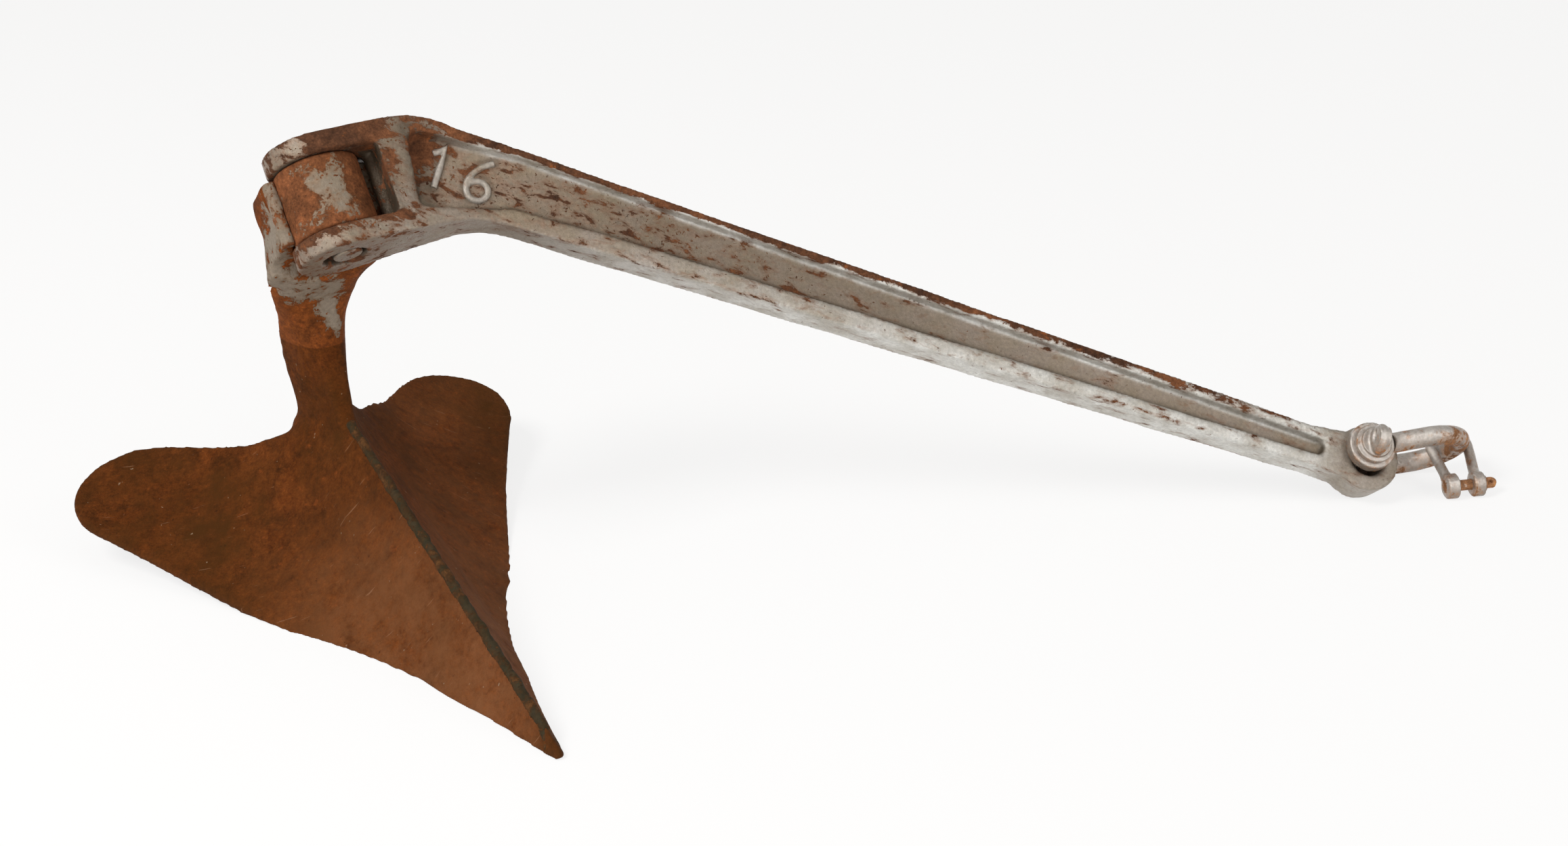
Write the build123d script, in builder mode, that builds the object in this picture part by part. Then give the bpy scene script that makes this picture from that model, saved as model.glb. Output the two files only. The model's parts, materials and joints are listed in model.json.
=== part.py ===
"""Hinged plough anchor: swinging shank, plough with two shares, and two shackles at the shank's eye.

Units are millimetres. The anchor rests on the floor plane z = 0 with +Z up and the shank towards +X.
Local frames are worked out once from the named angles, and every part is drawn in one of them.
"""
import os
from math import acos, atan2, cos, degrees, hypot, radians, sin

from build123d import *

os.makedirs("parts", exist_ok=True)


def tilt(vector_a, vector_b, degrees):
    """Unit vector that starts along vector_a and is turned towards vector_b."""
    return vector_a * cos(radians(degrees)) + vector_b * sin(radians(degrees))


# --- resting attitude -----------------------------------------------------------------------------
heading = 60.7           # plough's forward direction, degrees clockwise from +X
pin_lean = 37.9          # pin axis from the vertical; its lower end leans forward
swing = 81.5             # shank swung to the plough's right from straight ahead
shank_rake = 35.0        # shank below the pin's cross plane
hinge_back = 336.0       # hinge centre behind the toe
hinge_height = 295.4     # hinge centre above the floor
toe_lift = 4.0           # the frames' toe point above the floor
toe_x, toe_y = -157.26, -264.39

toe = Vector(toe_x, toe_y, toe_lift)
up = Vector(0, 0, 1)
ahead = Vector(cos(radians(heading)), -sin(radians(heading)), 0)
right = Vector(sin(radians(heading)), cos(radians(heading)), 0)
hinge = toe - ahead * hinge_back + up * hinge_height
pin_down = tilt(-up, ahead, pin_lean)
pin_fore = tilt(ahead, up, pin_lean)
fork_out = tilt(pin_fore, right, swing)
shank_out = tilt(fork_out, pin_down, shank_rake)
shank_up = tilt(-pin_down, fork_out, shank_rake)
shank_side = shank_up.cross(shank_out)

# --- shank ----------------------------------------------------------------------------------------
pin_r = 16.4
pin_clear = 0.05
barrel_r = 31.5
fork_gap = 56.0          # between the ears
end_gap = 0.4            # between the barrel's end and the ear
barrel_len = fork_gap - 2 * end_gap
ear_r = 35.0
ear_t = 15.7
crotch = 44.0            # hinge centre to the fork's inner wall
flange_w = 28.3          # shank's width over the flanges
web_t = 10.0
neck_top, neck_low = 82.0, 22.0      # shank's upper and lower line where it leaves the fork
tail_top, tail_low = 68.0, 38.8      # the same two lines just before the eye
tail_x = 795.0
eye_r = 25.5
eye_x, eye_z = tail_x + eye_r, 57.0
eye_hole_r = 14.5
bend_top_r, bend_low_r = 70.0, 80.0
ear_out = fork_gap / 2 + ear_t

web_plane = Plane(origin=hinge, x_dir=shank_out, z_dir=-shank_side)
fork_plane = Plane(origin=hinge, x_dir=fork_out, z_dir=-pin_down)
ca, sa = cos(radians(shank_rake)), sin(radians(shank_rake))


def ear_point(out, down):
    """Web-plane coordinates of a point given along the ears and down the pin."""
    return (out * ca + down * sa, out * sa - down * ca)


top_out = (neck_top - ear_out * ca) / sa
low_out = (neck_low + ear_out * ca) / sa
wall = 60.0              # recess's end wall, measured along the ears

with BuildPart() as shank:
    with BuildSketch(web_plane):
        with BuildLine():
            Polyline(ear_point(-ear_r - 8, -ear_out), ear_point(top_out, -ear_out), (tail_x, tail_top),
                     (tail_x, tail_low), ear_point(low_out, ear_out), ear_point(-ear_r - 8, ear_out),
                     close=True)
        make_face()
        fillet(vertices().sort_by_distance((*ear_point(top_out, -ear_out), 0))[0], bend_top_r)
        fillet(vertices().sort_by_distance((*ear_point(low_out, ear_out), 0))[0], bend_low_r)
        with Locations((eye_x, eye_z)):
            Circle(eye_r)
        with BuildLine():
            Polyline((tail_x - 30, tail_top), (tail_x + 14, eye_z + 16), (tail_x + 14, eye_z - 20),
                     (tail_x - 30, tail_low), close=True)
        make_face()
    extrude(amount=ear_r + 5, both=True)
    with BuildSketch(fork_plane):
        Circle(ear_r)
        with Locations((110, 0)):
            Circle(flange_w / 2)
        make_hull()
        with Locations((110, 0)):
            Rectangle(900, flange_w, align=(Align.MIN, Align.CENTER))
    extrude(amount=700, both=True, mode=Mode.INTERSECT)
    # gap for the barrel, with rounded inner corners
    with BuildSketch(web_plane):
        with BuildLine():
            Polyline(ear_point(-80, -fork_gap / 2), ear_point(crotch, -fork_gap / 2),
                     ear_point(crotch, fork_gap / 2), ear_point(-80, fork_gap / 2), close=True)
        make_face()
    extrude(amount=60, both=True, mode=Mode.SUBTRACT)
    with BuildSketch(fork_plane):
        Circle(pin_r)
    extrude(amount=80, both=True, mode=Mode.SUBTRACT)
    # recess on each side, leaving the web
    for side in (1, -1):
        with BuildSketch(web_plane.offset(side * web_t / 2)):
            with BuildLine():
                FilletPolyline(ear_point(wall + 9, -32), (64, 71), (125, 76), (tail_x - 10, tail_top - 7.5),
                               (tail_x - 10, tail_low + 8), (210, 38.0), (130, 34.5), ear_point(wall, 27.5),
                               close=True, radius=6)
            make_face()
        extrude(amount=side * 40, mode=Mode.SUBTRACT)
    with BuildSketch(web_plane):
        with Locations((eye_x, eye_z)):
            Circle(eye_hole_r)
    extrude(amount=40, both=True, mode=Mode.SUBTRACT)
shank.part.label = "shank"
export_step(shank.part, "parts/shank.step")

# --- hinge pin and barrel -------------------------------------------------------------------------
with BuildPart() as hinge_pin:
    with BuildSketch(fork_plane):
        Circle(pin_r)
    extrude(amount=ear_out - 2, both=True)
    chamfer(hinge_pin.faces().filter_by(GeomType.PLANE).edges(), 1.2)
hinge_pin.part.label = "hinge_pin"
export_step(hinge_pin.part, "parts/hinge_pin.step")

with BuildPart() as barrel:
    with BuildSketch(fork_plane):
        Circle(barrel_r)
        Circle(pin_r + pin_clear, mode=Mode.SUBTRACT)
    extrude(amount=barrel_len / 2, both=True)
    chamfer(barrel.faces().filter_by(GeomType.PLANE).edges(), 1.5)
barrel.part.label = "barrel"
export_step(barrel.part, "parts/barrel.step")

# --- shares ---------------------------------------------------------------------------------------
ridge_pitch = 18.5       # ridge above the floor
ridge_foot = 4.0         # ridge's height over the toe
mould_r = 218.6          # hollow curve across each share
mould_start = 62.8       # share's slope at the ridge
share_t = 6.8
ridge_back = tilt(-ahead, up, ridge_pitch)
ridge_normal = tilt(up, ahead, ridge_pitch)
ridge_start = toe + up * ridge_foot
across = Plane(origin=ridge_start, x_dir=right, z_dir=-ridge_back)
over = Plane(origin=ridge_start, x_dir=ridge_back, z_dir=-ridge_normal)
centre = (mould_r * sin(radians(mould_start)), mould_r * cos(radians(mould_start)))
first = 180 + 90 - mould_start - 8
turn = mould_start + 8 + 2

with BuildPart() as share_blank:
    with BuildSketch(across):
        with BuildLine():
            inner = CenterArc(centre, mould_r, first, turn)
            outer = CenterArc(centre, mould_r + share_t, first, turn)
            Line(inner @ 0, outer @ 0)
            Line(inner @ 1, outer @ 1)
        make_face()
    extrude(amount=-560)
    with BuildSketch(over):
        with BuildLine():
            Spline((-8, 8), (120, 43), (245, 90), (350, 135), (436, 180))
            ThreePointArc((436, 180), (502, 166), (505, 122))
            Spline((505, 122), (462, 76), (405, 26), (388, 0))
            Polyline((388, 0), (-8, 0), (-8, 8))
        make_face()
    extrude(amount=200, both=True, mode=Mode.INTERSECT)
    # lower edge stands flat on the floor
    with BuildSketch(Plane.XY):
        with Locations((toe_x, toe_y)):
            Rectangle(1400, 1400)
    extrude(amount=-300, mode=Mode.SUBTRACT)

# --- horn with its spine under the ridge ----------------------------------------------------------
cradle_w = 86.0
neck_half = 9.0
yoke_gap = 0.6           # between the yoke and the lower ear
mid_plane = Plane(origin=toe, x_dir=-ahead, z_dir=right)
back_plane = Plane(origin=hinge, x_dir=right, z_dir=pin_fore)


def pin_point(down, back):
    """Mid-plane coordinates of a point given down the pin and behind it."""
    sl, cl = sin(radians(pin_lean)), cos(radians(pin_lean))
    return (hinge_back - down * sl + back * cl, hinge_height - down * cl - back * sl)


def neck_point(back, height):
    """Mid-plane coordinates of a point given as shares of the hinge's distance and height."""
    return (hinge_back * back, hinge_height * height)


yoke_end = barrel_len / 2 - 0.2
yoke_back = ear_r + 1.4
yoke_low = ear_out + yoke_gap

with BuildPart() as horn:
    # yoke behind the barrel and under the lower ear
    with BuildSketch(mid_plane):
        with BuildLine():
            Polyline(pin_point(-yoke_end, 8), pin_point(yoke_end, 8), pin_point(yoke_end, yoke_back),
                     pin_point(yoke_low, yoke_back), pin_point(yoke_low + 1.7, 50), neck_point(1.083, 0.691),
                     neck_point(1.089, 0.643), neck_point(1.167, 0.677), pin_point(40, 66),
                     pin_point(yoke_end, 46), pin_point(-yoke_end, 41), close=True)
        make_face()
    extrude(amount=cradle_w / 2, both=True)
    with BuildSketch(back_plane):
        with BuildLine():
            Line((-cradle_w / 2, 60), (cradle_w / 2, 60))
            Line((cradle_w / 2, 60), (cradle_w / 2, -36))
            ThreePointArc((cradle_w / 2, -36), (20, -46), (neck_half, -64))
            Line((neck_half, -64), (neck_half, -90))
            Line((neck_half, -90), (-neck_half, -90))
            Line((-neck_half, -90), (-neck_half, -64))
            ThreePointArc((-neck_half, -64), (-20, -46), (-cradle_w / 2, -36))
            Line((-cradle_w / 2, -36), (-cradle_w / 2, 60))
        make_face()
    extrude(amount=400, both=True, mode=Mode.INTERSECT)
    with BuildSketch(fork_plane):
        Circle(barrel_r)
    extrude(amount=120, both=True, mode=Mode.SUBTRACT)

# below the yoke the horn is a wedge: front point, front width, rear point, rear width per section,
# the points as shares of the hinge's distance and height
wedge_sections = [((1.048, 0.765), 20, (1.113, 0.806), 66), ((1.083, 0.691), 18, (1.155, 0.704), 54),
                  ((1.092, 0.609), 17, (1.208, 0.609), 42), ((1.074, 0.508), 17, (1.223, 0.508), 36),
                  ((1.045, 0.413), 14, (1.217, 0.399), 34), ((1.006, 0.339), 9, (1.247, 0.311), 34)]
with BuildPart() as wedge:
    for front, front_w, rear, rear_w in wedge_sections:
        front_at = mid_plane.from_local_coords(Vector(*neck_point(*front)))
        rear_at = mid_plane.from_local_coords(Vector(*neck_point(*rear)))
        depth = (rear_at - front_at).length
        back_way = (rear_at - front_at).normalized()
        with BuildSketch(Plane(origin=front_at, x_dir=right, z_dir=right.cross(back_way))):
            with BuildLine():
                Polyline((-front_w / 2, 0), (front_w / 2, 0), (rear_w / 2, depth), (-rear_w / 2, depth),
                         close=True)
            make_face()
    loft()
horn_solid = horn.part + wedge.part

with BuildPart() as spine_blank:
    with BuildSketch(mid_plane):
        with BuildLine():
            Polyline((400, 108), (365, 96), (60, 8), (60, 1.5), (150, 8), (400, 60), close=True)
        make_face()
    extrude(amount=6, both=True)


right_solid = share_blank.part - horn_solid
left_solid = right_solid.mirror(mid_plane)
spine_solid = spine_blank.part - right_solid - left_solid
horn_solid = horn_solid + spine_solid
right_solid.label = "right_share"
left_solid.label = "left_share"
horn_solid.label = "horn"
export_step(right_solid, "parts/right_share.step")
export_step(left_solid, "parts/left_share.step")
export_step(horn_solid, "parts/horn.step")

# --- weld beads -----------------------------------------------------------------------------------
bead_r = 4.5
with BuildPart() as bead_blank:
    with BuildSketch(Plane(origin=ridge_start - ridge_normal * 2.5, x_dir=right, z_dir=ridge_back)):
        Circle(bead_r)
    extrude(amount=362)
ridge_weld_solid = bead_blank.part - right_solid - left_solid - horn_solid
ridge_weld_solid = ridge_weld_solid.solids().sort_by(SortBy.VOLUME)[-1]
ridge_weld_solid.label = "ridge_weld"
export_step(ridge_weld_solid, "parts/ridge_weld.step")

for side, name in ((1, "right"), (-1, "left")):
    with BuildPart() as seam:
        with BuildSketch(fork_plane):
            with Locations(fork_plane.to_local_coords(hinge - pin_fore * 6 + right * side * (barrel_r + 3))):
                Circle(6)
        extrude(amount=25, both=True)
    seam_solid = seam.part - barrel.part - horn_solid
    seam_solid.label = f"barrel_weld_{name}"
    export_step(seam_solid, f"parts/barrel_weld_{name}.step")

# --- bow shackle through the shank's eye ----------------------------------------------------------
bow_raise, bow_tilt, bow_skew = 22.6, 6.0, 2.8      # about the pin, about the bow, about its normal
bar_r = 7.5
jaw = 34.0
bow_ear_r, bow_ear_t = 18.5, 9.0
bow_pin_r = 7.5
bow_half, bow_straight = 33.0, 49.6
eye_slack, eye_back = 4.95, 0.85     # the pin rides this far above and behind the middle of the eye
thread_clear = 0.05
collar_gap = 0.3
collar_r = 15.5

eye = hinge + shank_out * (eye_x - eye_back) + shank_up * (eye_z + eye_slack)
bow_level = tilt(shank_out, shank_up, bow_raise)
bow_cross = tilt(shank_side, -bow_level.cross(shank_side), bow_tilt)
bow_out = tilt(bow_level, -bow_cross, bow_skew)
bow_axis = tilt(bow_cross, bow_level, bow_skew)
bow_plane = Plane(origin=eye, x_dir=bow_out, z_dir=bow_out.cross(bow_axis))
bow_pin_plane = Plane(origin=eye, x_dir=bow_out, z_dir=bow_axis)
ear_mid = jaw / 2 + bow_ear_t / 2
ear_end = jaw / 2 + bow_ear_t


def loop_start(leg, half, radius):
    """Angle where a straight arm from (0, half) runs tangent into the bow centred at (leg, 0)."""
    return degrees(atan2(half, -leg)) - degrees(acos(radius / hypot(leg, half)))


bow_turn = loop_start(bow_straight, ear_mid, bow_half)
with BuildPart() as shackle_bow:
    with BuildLine(bow_plane) as bow_path:
        loop = CenterArc((bow_straight, 0), bow_half, bow_turn, -2 * bow_turn)
        Line((0, ear_mid), (bow_straight + bow_half * cos(radians(bow_turn)), bow_half * sin(radians(bow_turn))))
        Line((bow_straight + bow_half * cos(radians(bow_turn)), -bow_half * sin(radians(bow_turn))), (0, -ear_mid))
    bow_wire = bow_path.wires()[0]
    with BuildSketch(Plane(origin=bow_wire @ 0, z_dir=bow_wire % 0)):
        Circle(bar_r)
    sweep(path=bow_wire)
    for side in (1, -1):
        with BuildSketch(bow_pin_plane.offset(side * jaw / 2)):
            Circle(bow_ear_r)
        extrude(amount=side * bow_ear_t)
    with BuildSketch(bow_pin_plane):
        Circle(eye_r + 5)
    extrude(amount=jaw / 2, both=True, mode=Mode.SUBTRACT)
    # flat faces for the pin's collar outside both ears
    for side in (1, -1):
        with BuildSketch(bow_pin_plane.offset(side * ear_end)):
            Circle(collar_r + 1)
        extrude(amount=side * 12, mode=Mode.SUBTRACT)
    with BuildSketch(bow_pin_plane):
        Circle(bow_pin_r + thread_clear)
    extrude(amount=80, both=True, mode=Mode.SUBTRACT)
shackle_bow.part.label = "shackle_bow"
export_step(shackle_bow.part, "parts/shackle_bow.step")

# screw pin: shaft, stepped collar and a flat eye tab
tab_way = tilt(bow_out, bow_out.cross(bow_axis), 75)
tab_plane = Plane(origin=eye, x_dir=tab_way, z_dir=tab_way.cross(bow_axis))
with BuildPart() as shackle_pin:
    with BuildSketch(bow_pin_plane.offset(ear_end + 1.5)):
        Circle(bow_pin_r)
    extrude(amount=-(2 * ear_end + 6))
    with BuildSketch(bow_pin_plane.offset(-(ear_end + collar_gap))):
        Circle(collar_r)
    extrude(amount=-5)
    with BuildSketch(bow_pin_plane.offset(-(ear_end + 4))):
        Circle(12)
    extrude(amount=-4)
    with BuildSketch(tab_plane):
        with Locations((0, -(ear_end + 13))):
            SlotCenterToCenter(10, 17, rotation=90)
    extrude(amount=4.5, both=True)
    with BuildSketch(tab_plane):
        with Locations((0, -(ear_end + 16))):
            Circle(3)
    extrude(amount=10, both=True, mode=Mode.SUBTRACT)
shackle_pin.part.label = "shackle_pin"
export_step(shackle_pin.part, "parts/shackle_pin.step")

# --- small shackle hanging in the bow -------------------------------------------------------------
small_spot = 8.0         # where on the bow it hangs, degrees from the bow's crown
small_heading, small_drop = 84.0, 25.4
small_r = 3.8
small_inner = 11.2
small_seat = -1         # bend's centre past the bow's bar, towards the pin
small_shift = -2.6       # bend's centre off the bar, along the small pin
small_leg = 38.1 - small_seat
small_jaw = 13.5
small_ear_r, small_ear_t = 9.0, 7.5
small_pin_r = 4.2
small_collar_r = 6.6

crown_out = tilt(bow_out, bow_axis, small_spot)
crown = eye + bow_out * bow_straight + crown_out * bow_half
small_level = Vector(cos(radians(small_heading)), -sin(radians(small_heading)), 0)
small_out = tilt(small_level, -up, small_drop)
small_axis = Vector(sin(radians(small_heading)), cos(radians(small_heading)), 0)
small_bend_at = crown + small_out * small_seat + small_axis * small_shift
small_plane = Plane(origin=small_bend_at, x_dir=small_out, z_dir=small_out.cross(small_axis))
small_pin_plane = Plane(origin=small_bend_at + small_out * small_leg, x_dir=small_out, z_dir=small_axis)
small_bend = small_inner + small_r
small_mid = (small_jaw + small_ear_t) / 2
small_end = small_jaw / 2 + small_ear_t
small_turn = loop_start(small_leg, small_mid, small_bend)

with BuildPart() as small_bow:
    with BuildLine(small_plane) as small_path:
        tangent_x = small_leg + small_bend * cos(radians(small_turn))
        tangent_y = small_bend * sin(radians(small_turn))
        Line((small_leg, small_mid), (small_leg - tangent_x, tangent_y))
        CenterArc((0, 0), small_bend, 180 - small_turn, 2 * small_turn)
        Line((small_leg - tangent_x, -tangent_y), (small_leg, -small_mid))
    small_wire = small_path.wires()[0]
    with BuildSketch(Plane(origin=small_wire @ 0, z_dir=small_wire % 0)):
        Circle(small_r)
    sweep(path=small_wire)
    for side in (1, -1):
        with BuildSketch(small_pin_plane.offset(side * small_jaw / 2)):
            Circle(small_ear_r)
        extrude(amount=side * small_ear_t)
    with BuildSketch(small_pin_plane):
        Circle(small_ear_r + 2)
    extrude(amount=small_jaw / 2, both=True, mode=Mode.SUBTRACT)
    for side in (1, -1):
        with BuildSketch(small_pin_plane.offset(side * small_end)):
            Circle(small_collar_r + 0.6)
        extrude(amount=side * 6, mode=Mode.SUBTRACT)
    with BuildSketch(small_pin_plane):
        Circle(small_pin_r + thread_clear)
    extrude(amount=40, both=True, mode=Mode.SUBTRACT)
small_bow.part.label = "small_shackle_bow"
export_step(small_bow.part, "parts/small_shackle_bow.step")

with BuildPart() as small_pin:
    with BuildSketch(small_pin_plane.offset(-small_end - 0.8)):
        Circle(small_pin_r)
    extrude(amount=2 * small_end + 4)
    with BuildSketch(small_pin_plane.offset(small_end + collar_gap)):
        Circle(small_collar_r)
    extrude(amount=2.4)
    with BuildSketch(small_plane):
        with Locations((small_leg, small_end + 5.5)):
            SlotCenterToCenter(4, 8.5, rotation=90)
    extrude(amount=2, both=True)
    with BuildSketch(small_plane):
        with Locations((small_leg, small_end + 7.5)):
            Circle(1.6)
    extrude(amount=8, both=True, mode=Mode.SUBTRACT)
small_pin.part.label = "small_shackle_pin"
export_step(small_pin.part, "parts/small_shackle_pin.step")
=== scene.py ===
# %% [markdown]
# # A hinged plough anchor in Blender
# The anchor is forged and welded steel: a bent I-section shank that swings in a fork, a horn that
# carries two hollow shares, and two shackles at the eye. The CAD model gives every size and joint.
# This lesson gives each part its worn, forged or welded surface, and then its paint and rust.

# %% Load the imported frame
import json
from math import cos, radians, sin

import bmesh
import bpy
import numpy as np
from mathutils import Matrix, Vector


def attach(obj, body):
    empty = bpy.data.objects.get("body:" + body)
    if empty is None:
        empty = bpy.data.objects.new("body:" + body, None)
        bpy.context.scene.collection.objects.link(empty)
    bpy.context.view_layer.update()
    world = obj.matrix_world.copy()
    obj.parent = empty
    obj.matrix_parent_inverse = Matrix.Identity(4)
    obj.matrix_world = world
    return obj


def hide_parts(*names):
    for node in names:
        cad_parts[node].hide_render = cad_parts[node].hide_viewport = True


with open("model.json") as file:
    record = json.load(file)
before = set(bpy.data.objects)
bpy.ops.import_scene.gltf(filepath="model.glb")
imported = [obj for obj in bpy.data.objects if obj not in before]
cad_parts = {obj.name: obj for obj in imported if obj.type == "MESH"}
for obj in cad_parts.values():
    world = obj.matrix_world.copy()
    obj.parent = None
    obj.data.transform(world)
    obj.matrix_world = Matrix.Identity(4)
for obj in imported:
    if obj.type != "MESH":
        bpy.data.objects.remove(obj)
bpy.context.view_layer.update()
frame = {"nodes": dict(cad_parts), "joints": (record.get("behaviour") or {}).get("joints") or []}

MM = 0.001
nodes = frame["nodes"]
joints = {joint["name"]: joint for joint in frame["joints"]}

# %% [markdown]
# ## Working frames
# Wear and paint follow the part they are on, not the floor. World coordinates would do for one pose
# of one anchor, but every number would then be hard to read. Each part therefore gets a frame of
# its own: an origin and three axes, found from the joints. Along the shank, x runs from the hinge to
# the eye and z towards its back. In the plough, x runs back from the toe and z up. At the hinge, z
# runs up the pin.

# %% Axes from an origin and three directions
UP = Vector((0, 0, 1))


def tilt(start, towards, degrees):
    """Unit vector that starts along one axis and is turned towards another."""
    return start * cos(radians(degrees)) + towards * sin(radians(degrees))


def axes_at(origin, x_axis, y_axis, z_axis):
    """Matrix that takes a part's own coordinates to the world."""
    return Matrix.Translation(origin) @ Matrix((x_axis, y_axis, z_axis)).transposed().to_4x4()


# %% Frames of the shank and its fork
SHANK_RAKE = 35.0    # degrees between the fork and the beam

hinge = Vector(joints["shank_swing"]["pos_m"])
pin_up = Vector(joints["shank_swing"]["axis"]).normalized()
eye = Vector(joints["shackle_swing"]["pos_m"])
shank_side = pin_up.cross(eye - hinge).normalized()
fork_out = shank_side.cross(pin_up)
shank_out = tilt(fork_out, -pin_up, SHANK_RAKE)
shank_up = tilt(pin_up, fork_out, SHANK_RAKE)
shank_axes = axes_at(hinge, shank_out, shank_side, shank_up)
fork_axes = axes_at(hinge, fork_out, shank_side, pin_up)
print("hinge", [round(c, 4) for c in hinge], "eye", [round(c, 4) for c in eye])

# %% Frames of the plough and its barrel
HINGE_BACK, HINGE_HEIGHT = 336.0 * MM, 295.4 * MM    # from the toe to the hinge

ahead = -Vector((pin_up.x, pin_up.y, 0)).normalized()
left = UP.cross(-ahead)
toe = hinge + ahead * HINGE_BACK - UP * HINGE_HEIGHT
plough_axes = axes_at(toe, -ahead, left, UP)
hinge_axes = axes_at(hinge, -pin_up.cross(left), -left, pin_up)
print("toe", [round(c, 4) for c in toe])

# %% [markdown]
# ## Camera, floor and light
# A long lens keeps the anchor's proportions calm. The floor and the backdrop are the same pale
# plane. The lamps are large and soft, and they stay low enough that paint and rust show the colour
# they are given. A brighter lamp could make the floor white, but it would bleach the steel too. What
# the camera or a mirroring surface sees of the floor is lifted by a light-path switch instead, so
# that the shadow stays soft without more light on the steel.

# %% Camera
FRAME_WIDTH, FOCAL_PIXELS, SENSOR = 2315, 3704.0, 36.0
CAMERA_PLACE = Vector((-0.00736, -1.69684, 0.90300))
VIEW_WAY = Vector((0.0051, 0.9079, -0.4192)).normalized()
VIEW_RIGHT = Vector((0.9989, -0.0247, -0.0414))

camera_data = bpy.data.cameras.new("camera")
camera_data.lens = FOCAL_PIXELS / FRAME_WIDTH * SENSOR
camera_data.sensor_width = SENSOR
camera = bpy.data.objects.new("camera", camera_data)
bpy.context.scene.collection.objects.link(camera)
view_up = VIEW_RIGHT.cross(VIEW_WAY).normalized()
camera.matrix_world = axes_at(CAMERA_PLACE, VIEW_WAY.cross(view_up), view_up, -VIEW_WAY)
bpy.context.scene.camera = camera
print("lens", round(camera_data.lens, 2), "mm")


# %% One colour function and one node function
def linear(hex_colour):
    """An sRGB hex value as the linear colour that shader sockets take."""
    channels = [int(hex_colour[i:i + 2], 16) / 255 for i in (1, 3, 5)]
    return *(c / 12.92 if c <= 0.04045 else ((c + 0.055) / 1.055) ** 2.4 for c in channels), 1.0


def add_node(material, kind, sockets=None, **settings):
    """Add a node, set its properties, and fill its inputs or link them from other nodes."""
    node = material.node_tree.nodes.new("ShaderNode" + kind)
    for name, value in settings.items():
        setattr(node, name, value)
    for socket, value in (sockets or {}).items():
        if isinstance(value, bpy.types.Node):
            value = next(output for output in value.outputs if output.enabled)
        if isinstance(value, bpy.types.NodeSocket):
            material.node_tree.links.new(value, node.inputs[socket])
        else:
            node.inputs[socket].default_value = linear(value) if isinstance(value, str) else value
    return node


# %% Empty materials and rays
def new_material(name):
    """An empty node material with its output node."""
    material = bpy.data.materials.new(name)
    material.use_nodes = True
    material.node_tree.nodes.clear()
    return material, add_node(material, "OutputMaterial")


def seen_by(material, *rays):
    """1 for the camera's rays and the other kinds named, 0 for the light that falls on things."""
    path = add_node(material, "LightPath")
    seen = path.outputs["Is Camera Ray"]
    for ray in rays:
        seen = add_node(material, "Math", {0: seen, 1: path.outputs[ray]}, operation="MAXIMUM")
    return seen


# %% Floor
FLOOR_SIZE = 30.0
LIFT = 0.8    # share of the floor's look that is lifted to white

# Matt studio paper: no gloss at all, so only the soft shadow gives it form.
floor_paint, floor_end = new_material("pale_floor")
seen = seen_by(floor_paint, "Is Glossy Ray", "Is Transmission Ray")
lift = add_node(floor_paint, "Math", {0: seen, 1: LIFT}, operation="MULTIPLY")
matt = add_node(floor_paint, "BsdfDiffuse", {"Color": "#f4f2ef"})
glow = add_node(floor_paint, "Emission", {"Color": "#ffffff", "Strength": 1.0})
floor_mix = add_node(floor_paint, "MixShader", {0: lift, 1: matt, 2: glow})
floor_paint.node_tree.links.new(floor_mix.outputs[0], floor_end.inputs["Surface"])

work = bmesh.new()
bmesh.ops.create_grid(work, x_segments=2, y_segments=2, size=FLOOR_SIZE / 2)
floor_mesh = bpy.data.meshes.new("floor")
work.to_mesh(floor_mesh)
work.free()
floor = bpy.data.objects.new("floor", floor_mesh)
floor.data.materials.append(floor_paint)
bpy.context.scene.collection.objects.link(floor)
print("floor", FLOOR_SIZE, "m across")

# %% World
world = bpy.data.worlds.new("studio")
bpy.context.scene.world = world
world.use_nodes = True
world.node_tree.nodes.clear()
world_end = add_node(world, "OutputWorld")
seen = seen_by(world, "Is Transmission Ray")
studio_light = add_node(world, "Background", {"Color": "#f6f3ef", "Strength": 0.44})
backdrop = add_node(world, "Background", {"Color": "#ffffff", "Strength": 1.0})
world_mix = add_node(world, "MixShader", {0: seen, 1: studio_light, 2: backdrop})
world.node_tree.links.new(world_mix.outputs[0], world_end.inputs["Surface"])
print("world nodes", len(world.node_tree.nodes))

# %% Lamps
LAMPS = (
    # name, place, size in metres, power in watts
    ("window_left", (-1.7, -1.1, 2.5), 1.1, 62),
    ("window_right", (2.4, -1.8, 1.6), 1.6, 29),
    ("low_card", (-0.5, -2.3, 0.35), 1.3, 16))
LIT_PLACE = Vector((0, 0, 0.1))

for name, place, size, power in LAMPS:
    lamp_data = bpy.data.lights.new(name, "AREA")
    lamp_data.shape = "SQUARE"
    lamp_data.size = size
    lamp_data.energy = power
    lamp = bpy.data.objects.new(name, lamp_data)
    lamp.location = place
    lamp.rotation_euler = (LIT_PLACE - Vector(place)).to_track_quat("-Z", "Y").to_euler()
    bpy.context.scene.collection.objects.link(lamp)
    print(name, power, "W")
bpy.context.scene.view_settings.view_transform = "Standard"

# %% [markdown]
# ## Forged surfaces from the CAD solids
# The CAD solids have sharp edges and flat faces. Forging rounds every edge, fills every inner corner
# and leaves the skin slightly uneven. One way is to model each rounded part by hand. Here each
# solid is copied instead, wrapped in an even net of small squares, and relaxed: relaxing rounds the
# edges, and a second pass that only ever moves points outwards fills the inner corners, as a die or
# a weld does. The same net can then say where the steel is worn: a point that stands proud of its
# neighbours is rubbed, and one that lies below them holds paint and dirt.


# %% Copy and wrap a solid
def merged_copy(names):
    """A bmesh of the named CAD nodes together, with loose triangles joined up."""
    joined = bmesh.new()
    for name in names:
        joined.from_mesh(nodes[name].data)
    bmesh.ops.remove_doubles(joined, verts=joined.verts, dist=0.002 * MM)
    return joined


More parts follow.
